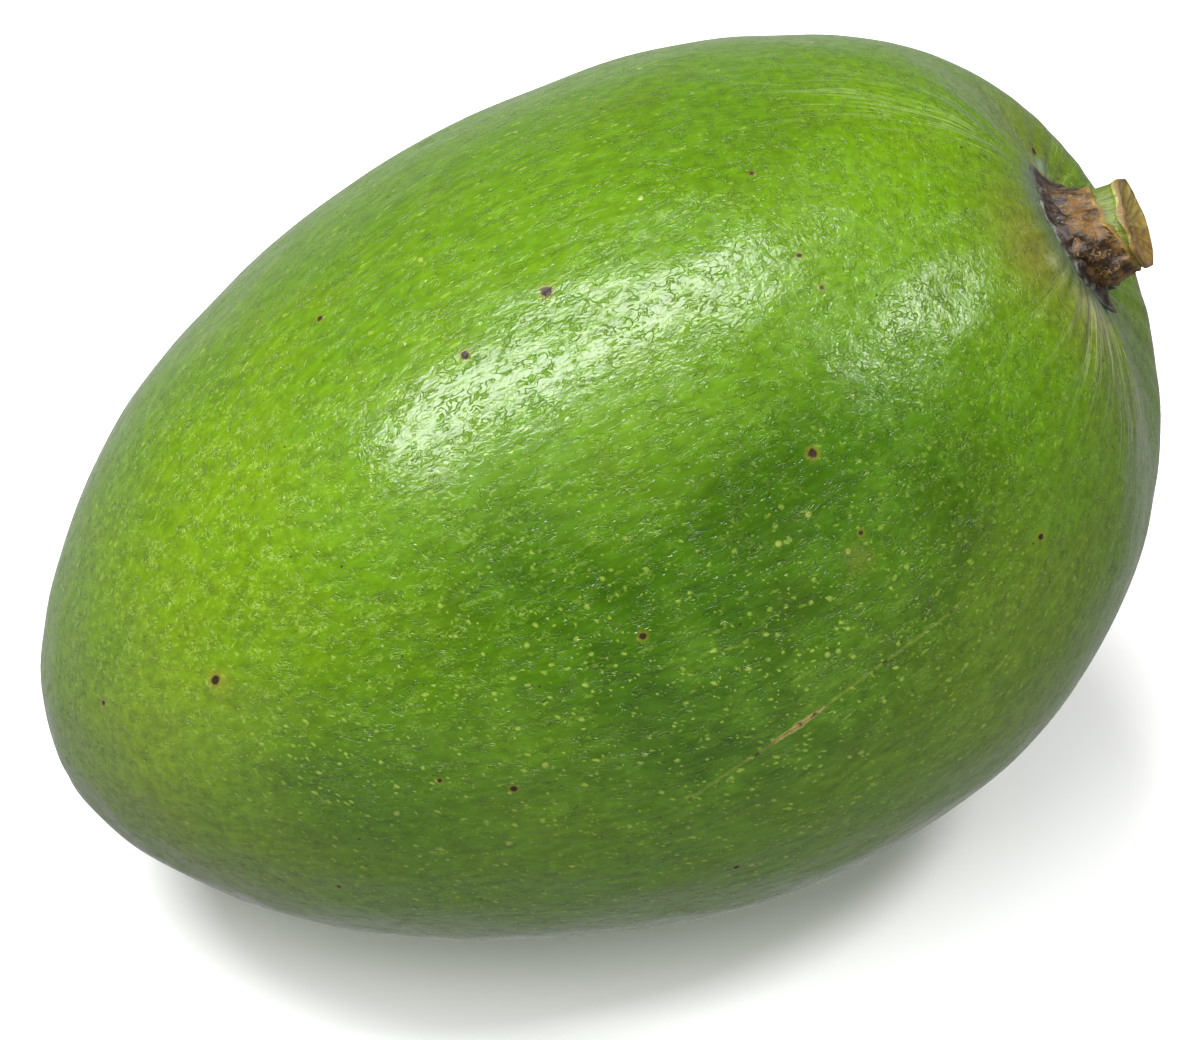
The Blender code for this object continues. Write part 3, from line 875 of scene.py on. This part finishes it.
def makeCalyx():
    # a closed ring of papery skin: its section climbs from a pointed rim on the fruit to a collar at
    # the stalk, and the rim reaches out to each lobe's tip
    around = np.linspace(0.0, 2 * np.pi, calyx["columns"], endpoint=False)[None, :]
    rim = np.full(around.shape, calyx["rimRadius"])
    lift = np.zeros(around.shape)
    for angle, tip, halfWidth, raised in calyx["lobes"]:
        apart = np.abs((around - math.radians(angle) + np.pi) % (2 * np.pi) - np.pi)
        apart = apart / math.radians(halfWidth)
        point = np.clip(1.0 - apart, 0.0, 1.0) ** calyx["lobePoint"]
        rim = np.maximum(rim, calyx["rimRadius"] + (tip - calyx["rimRadius"]) * point)
        lift = lift + raised * point**2
    rim = rim + calyx["raggedRim"] * spokes(around, 7, 26, seed=41)

    # the section: share of the way from the inner radius to the rim, and share of the collar's height
    section = [
        (0.0, -0.35), (0.5, -0.30), (0.9, -0.16), (1.0, 0.00), (1.0, 0.06), (0.85, 0.14), (0.6, 0.24),
        (0.35, 0.48), (0.18, 0.82), (0.06, 1.00), (0.0, 0.92), (0.0, 0.30),
    ]
    closed = np.array(section + section[:1])
    steps = np.diff(closed, axis=0) * np.array([calyx["ringWidth"], calyx["collarHeight"]])
    travelled = np.concatenate([[0.0], np.cumsum(np.hypot(*steps.T))])
    places = np.linspace(0.0, travelled[-1], calyx["rows"], endpoint=False)
    outward = np.interp(places, travelled, closed[:, 0])[:, None]
    rise = np.interp(places, travelled, closed[:, 1])[:, None]

    radius = calyx["innerRadius"] + (rim - calyx["innerRadius"]) * outward
    wrap = np.broadcast_to(around, radius.shape)
    onTop = smoothStep(-0.02, 0.12, rise)
    puckers = spokes(wrap, 9, 30, seed=42)
    fading = np.clip(1.4 * outward + 0.3, 0.0, 1.0) * (1.2 - outward)
    creases = calyx["creases"] * puckers * onTop * fading
    run, side = radius * np.cos(wrap), radius * np.sin(wrap)
    crinkle = ripples(np.stack([run, side, 3 * rise + 0 * run], axis=-1), 2.0, seed=43)
    crinkle = calyx["crinkle"] * crinkle * onTop
    uneven = calyx["collarUneven"] * spokes(wrap, 2, 9, seed=44)
    height = rise * calyx["collarHeight"] * (1.0 + uneven * onTop)
    height = height + creases + crinkle + lift * outward**2
    grid = np.stack([run, side, height], axis=-1) / 1000.0
    grid[..., 2] += skinHeight(grid[..., 0], grid[..., 1])
    made = gridObject("dryCalyx", ontoSeat(grid), ringClosed=True)
    ageing = np.stack([outward + 0 * wrap, 0 * wrap, puckers], axis=-1)
    addAttribute(made, "ageing", ageing)
    return made


def witheredCalyx():
    # Withered sepals of the old flower: papery, almost black brown, with a dusty grey green edge and
    # pale threads that are painted glints.
    material, tree, shader = newMaterial("witheredCalyxPaper")
    place = millimetres(tree)
    ageing = add(tree, "Attribute", attribute_name="ageing").outputs["Vector"]
    parts = add(tree, "SeparateXYZ", {0: ageing})
    dust = add(tree, "TexNoise", {"Vector": place, "Scale": 0.9, "Detail": 5.0, "Roughness": 0.65})
    dusty = add(tree, "MapRange", {"Value": dust, "From Min": 0.48, "From Max": 0.66})
    ridge = add(tree, "MapRange", {"Value": parts.outputs["Z"], "From Min": 0.2, "From Max": 1.6})
    edge = add(tree, "MapRange", {"Value": parts.outputs["X"], "From Min": 0.80, "From Max": 1.0})
    worn = add(tree, "MapRange", {"Value": dust, "From Min": 0.36, "From Max": 0.56})
    margin = add(tree, "Math", {0: edge, 1: worn}, operation="MULTIPLY")
    layers = [
        ("#4a3e38", dusty, 0.45),
        ("#4c3624", ridge, 0.45),
        ("#586259", margin, 0.60),
        # pale threads: painted glints on the paper
        ("#9a958a", threads(tree, place, 0.7, 0.04, 0.50), 0.35),
    ]
    colour = paintOver(tree, linear("#1f1714"), layers)
    bump = add(tree, "Bump", {"Height": dust, "Strength": 1.0, "Distance": 0.00018})
    fill(tree, shader, {"Base Color": colour, "Roughness": 0.42, "Normal": bump})
    return material


def setPiece(piece, material, node):
    piece.data.materials.append(material)
    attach(piece, "root")
    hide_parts(node)
    print(piece.name, "made:", len(piece.data.polygons), "faces")


setPiece(makeSkin(), waxySkin(), "fruit")
setPiece(makeStalk(), driedStalk(), "stem_stub")
setPiece(makeCalyx(), witheredCalyx(), "calyx")

# Camera: level turn from the fruit's Y axis and height angle, in degrees
view = {
    "turn": -17.2,
    "rise": 40.0,
    "distance": 0.60,
    "lens": 180.0,  # millimetres, as is the sensor
    "sensor": 36.0,
    "target": (0.0003, 0.0, 0.0412),
    "sideways": -0.00314,
    "upwards": -0.00279,
}
turn = math.radians(-view["turn"])
rise = math.radians(view["rise"])
rightWay = np.array([math.cos(turn), -math.sin(turn), 0.0])
awayWay = np.array([math.sin(turn), math.cos(turn), 0.0])
upWay = awayWay * math.sin(rise) + np.array([0.0, 0.0, math.cos(rise)])
backWay = -awayWay * math.cos(rise) + np.array([0.0, 0.0, math.sin(rise)])


def makeCamera():
    lens = bpy.data.cameras.new("camera")
    lens.lens = view["lens"]
    lens.sensor_width = view["sensor"]
    lens.clip_start = 0.01
    camera = newObject("camera", lens)
    aim = np.array(view["target"]) + rightWay * view["sideways"] + upWay * view["upwards"]
    camera.location = Vector(aim + backWay * view["distance"])
    camera.rotation_euler = Matrix(np.stack([rightWay, upWay, backWay], axis=1).tolist()).to_euler()
    bpy.context.scene.camera = camera


# Soft lights: the way to each from the fruit, as right, away and up shares, its distance, its sides,
# its power in watts and whether the skin mirrors it. The first side lies level, as near X as it can.
softLights = {
    "windowLight": ((-0.30, -0.04, 0.95), 0.8, (0.63, 0.22), 11.5, True),
    "sideLight": ((0.48, -0.20, 0.855), 0.9, (0.20, 0.18), 3.8, True),
    "cheekLight": ((0.45, -0.82, 0.32), 1.1, (0.70, 0.40), 6.4, False),
    "frontLight": ((-0.20, -0.57, 0.82), 1.1, (0.60, 0.55), 6.6, False),
}
fruitMiddle = np.array([0.0, 0.0, 0.042])


def makeLight(name, way, distance, sides, power, mirrored):
    lamp = bpy.data.lights.new(name, "AREA")
    lamp.shape = "RECTANGLE"
    lamp.size, lamp.size_y = sides
    lamp.energy = power
    right, away, up = way
    way = rightWay * right + awayWay * away + np.array([0.0, 0.0, up])
    way /= np.linalg.norm(way)
    light = newObject(name, lamp)
    light.location = Vector(way * distance + fruitMiddle)
    across = np.cross(way, [1.0, 0.0, 0.0])
    across /= np.linalg.norm(across)
    axes = np.stack([np.cross(across, way), across, way], axis=1)
    light.rotation_euler = Matrix(axes.tolist()).to_euler()
    light.visible_glossy = mirrored


# Room and board: how strongly the room glows low down and overhead, the share of that on the right and
# on the window's side, the board's half width in metres, and between which distances from the fruit the
# room comes to light the board, where the soft lights no longer reach
room = {
    "glow": (0.52, 0.16),
    "horizon": 0.15,
    "sides": (0.60, 1.50),
    "sideReach": 0.8,
    "boardReach": 2.5,
    "boardGlow": (0.4, 1.3),
}


def makeRoom():
    # a large matt white board in a pale room
    world = bpy.data.worlds.new("paleRoom")
    bpy.context.scene.world = world
    world.use_nodes = True
    tree = world.node_tree
    place = add(tree, "TexCoord").outputs["Generated"]
    way = add(tree, "SeparateXYZ", {0: place})
    horizon, reach = room["horizon"], room["sideReach"]
    low, high = room["glow"]
    height = way.outputs["Z"]
    span = {"Value": height, "From Min": -horizon, "From Max": horizon, "To Min": low, "To Max": high}
    glow = add(tree, "MapRange", span)
    facing = {0: place, 1: tuple(-rightWay)}
    towards = add(tree, "VectorMath", facing, operation="DOT_PRODUCT").outputs["Value"]
    low, high = room["sides"]
    span = {"Value": towards, "From Min": -reach, "From Max": reach, "To Min": low, "To Max": high}
    uneven = add(tree, "MapRange", span)
    glow = add(tree, "Math", {0: glow, 1: uneven}, operation="MULTIPLY")
    fill(tree, tree.nodes["Background"], {"Color": linear("#ffffff"), "Strength": glow})
    mesh = bpy.data.meshes.new("table")
    corners = np.array([(-1, -1, 0), (1, -1, 0), (1, 1, 0), (-1, 1, 0)]) * room["boardReach"]
    mesh.from_pydata(corners.tolist(), [], [(0, 1, 2, 3)])
    table = newObject("table", mesh)
    table.visible_diffuse = False
    table.visible_glossy = False
    material, tree, shader = newMaterial("mattWhiteBoard")
    fill(tree, shader, {"Base Color": linear("#fcfcfc"), "Roughness": 0.8, "Specular IOR Level": 0.0})
    spot = add(tree, "TexCoord").outputs["Object"]
    away = add(tree, "VectorMath", {0: spot}, operation="LENGTH").outputs["Value"]
    near, far = room["boardGlow"]
    span = {"Value": away, "From Min": near, "From Max": far}
    lit = add(tree, "MapRange", span, interpolation_type="SMOOTHSTEP")
    fill(tree, shader, {"Emission Color": linear("#ffffff"), "Emission Strength": lit})
    mesh.materials.append(material)


makeCamera()
for lightName, lightSettings in softLights.items():
    makeLight(lightName, *lightSettings)
makeRoom()
bpy.context.scene.view_settings.view_transform = "Standard"
print("camera, lights and table made")
